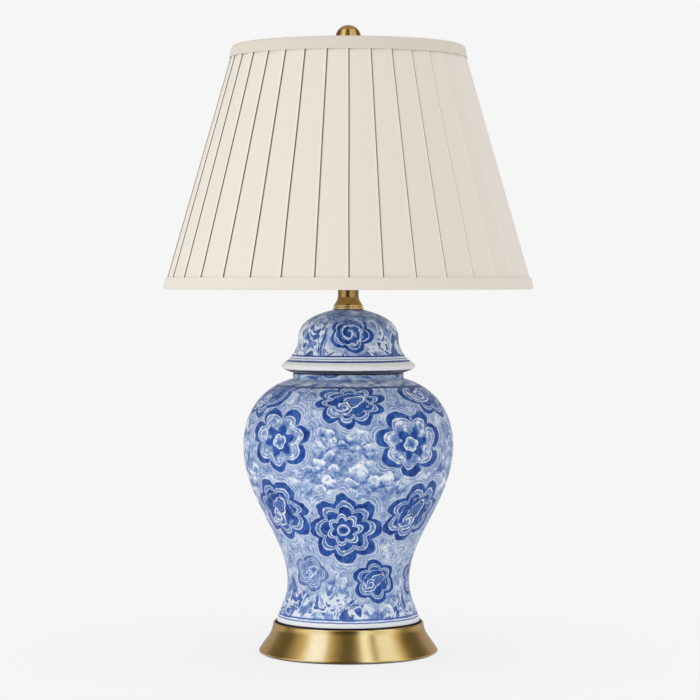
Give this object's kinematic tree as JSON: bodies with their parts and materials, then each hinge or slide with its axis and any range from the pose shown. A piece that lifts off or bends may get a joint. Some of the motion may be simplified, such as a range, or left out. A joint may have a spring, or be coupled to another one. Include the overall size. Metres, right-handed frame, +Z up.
{
  "type": "table lamp",
  "caption": "Table lamp: blue and white glazed ginger-jar body with a lid, brass base, neck and ball finial, and a knife-pleated empire shade on a harp over a screw bulb.",
  "frame": {"origin": "centre of the felt pad's underside, on the surface that the lamp stands on", "axes": "+Z up along the lamp's axis; the pictured front faces -Y, with +X to the viewer's right; the cord outlet is at the back, +Y"},
  "size_m": [0.4116, 0.4116, 0.6985],
  "materials": {
    "felt": "pressed black felt",
    "base_brass": "satin antique brass, spun",
    "black_plastic": "moulded nylon",
    "gasket_rubber": "matt black rubber",
    "zinc_steel": "zinc plated",
    "jar_glaze": "cobalt floral painting under a clear glaze",
    "lid_glaze": "cobalt painting under a clear glaze, white rolled rim",
    "neck_brass": "antique brass, turned",
    "harp_brass": "antique brass plate",
    "socket_brass": "polished brass shell",
    "insulating_card": "grey-brown insulating card",
    "phenolic": "moulded phenolic",
    "shell_aluminium": "drawn aluminium",
    "contact_brass": "bright brass",
    "bulb_aluminium": "rolled thread",
    "bulb_black_glass": "black insulating glass",
    "bulb_white_glass": "soft white coated glass",
    "shade_wire": "white enamel",
    "shade_lining": "off-white laminated lining",
    "shade_fabric": "cream plain-weave cloth in knife pleats",
    "shade_band_fabric": "cream plain-weave band",
    "finial_brass": "satin brass"
  },
  "bodies": {
    "stand": {"felt_pad": "felt", "base": "base_brass", "cord_bushing": "black_plastic", "foot_gasket": "gasket_rubber", "base_washer": "zinc_steel", "base_lock_washer": "zinc_steel", "base_nut": "zinc_steel", "lamp_pipe": "zinc_steel", "jar": "jar_glaze", "lid": "lid_glaze", "neck_cap": "neck_brass", "neck_tube": "neck_brass", "check_ring": "neck_brass", "harp_saddle": "harp_brass", "harp_bow": "harp_brass", "harp_stud": "harp_brass", "socket_cap": "socket_brass", "socket_set_screw": "zinc_steel", "socket_shell": "socket_brass", "socket_insulator": "insulating_card", "socket_body": "phenolic", "screw_shell": "shell_aluminium", "centre_contact": "contact_brass", "terminal_screws": "contact_brass"},
    "sleeve_left": {"harp_sleeve_left": "harp_brass"},
    "sleeve_right": {"harp_sleeve_right": "harp_brass"},
    "switch": {"switch_shaft": "contact_brass", "switch_knob": "phenolic"},
    "bulb": {"bulb_screw_cap": "bulb_aluminium", "bulb_insulator": "bulb_black_glass", "bulb_contact": "contact_brass", "bulb_glass": "bulb_white_glass"},
    "shade": {"shade_spider": "shade_wire", "shade_top_ring": "shade_wire", "shade_bottom_ring": "shade_wire", "shade_lining": "shade_lining", "shade_pleats": "shade_fabric", "shade_top_band": "shade_band_fabric", "shade_bottom_band": "shade_band_fabric"},
    "finial": {"finial": "finial_brass"}
  },
  "joints": [
    {"name": "sleeve_left_slide", "type": "slide", "parent": "stand", "child": "sleeve_left", "axis": [0, 0, 1], "range_m": [0, 0.012]},
    {"name": "sleeve_right_slide", "type": "slide", "parent": "stand", "child": "sleeve_right", "axis": [0, 0, 1], "range_m": [0, 0.012]},
    {"name": "switch_turn", "type": "hinge", "parent": "stand", "child": "switch", "pos_m": [0, -0.02, 0.4565], "axis": [0, -1, 0], "continuous": true},
    {"name": "bulb_turn", "type": "hinge", "parent": "stand", "child": "bulb", "pos_m": [0, 0, 0.48], "axis": [0, 0, 1], "continuous": true},
    {"name": "shade_turn", "type": "hinge", "parent": "stand", "child": "shade", "pos_m": [0, 0, 0.659], "axis": [0, 0, 1], "continuous": true},
    {"name": "finial_turn", "type": "hinge", "parent": "stand", "child": "finial", "pos_m": [0, 0, 0.6605], "axis": [0, 0, 1], "continuous": true}
  ]
}
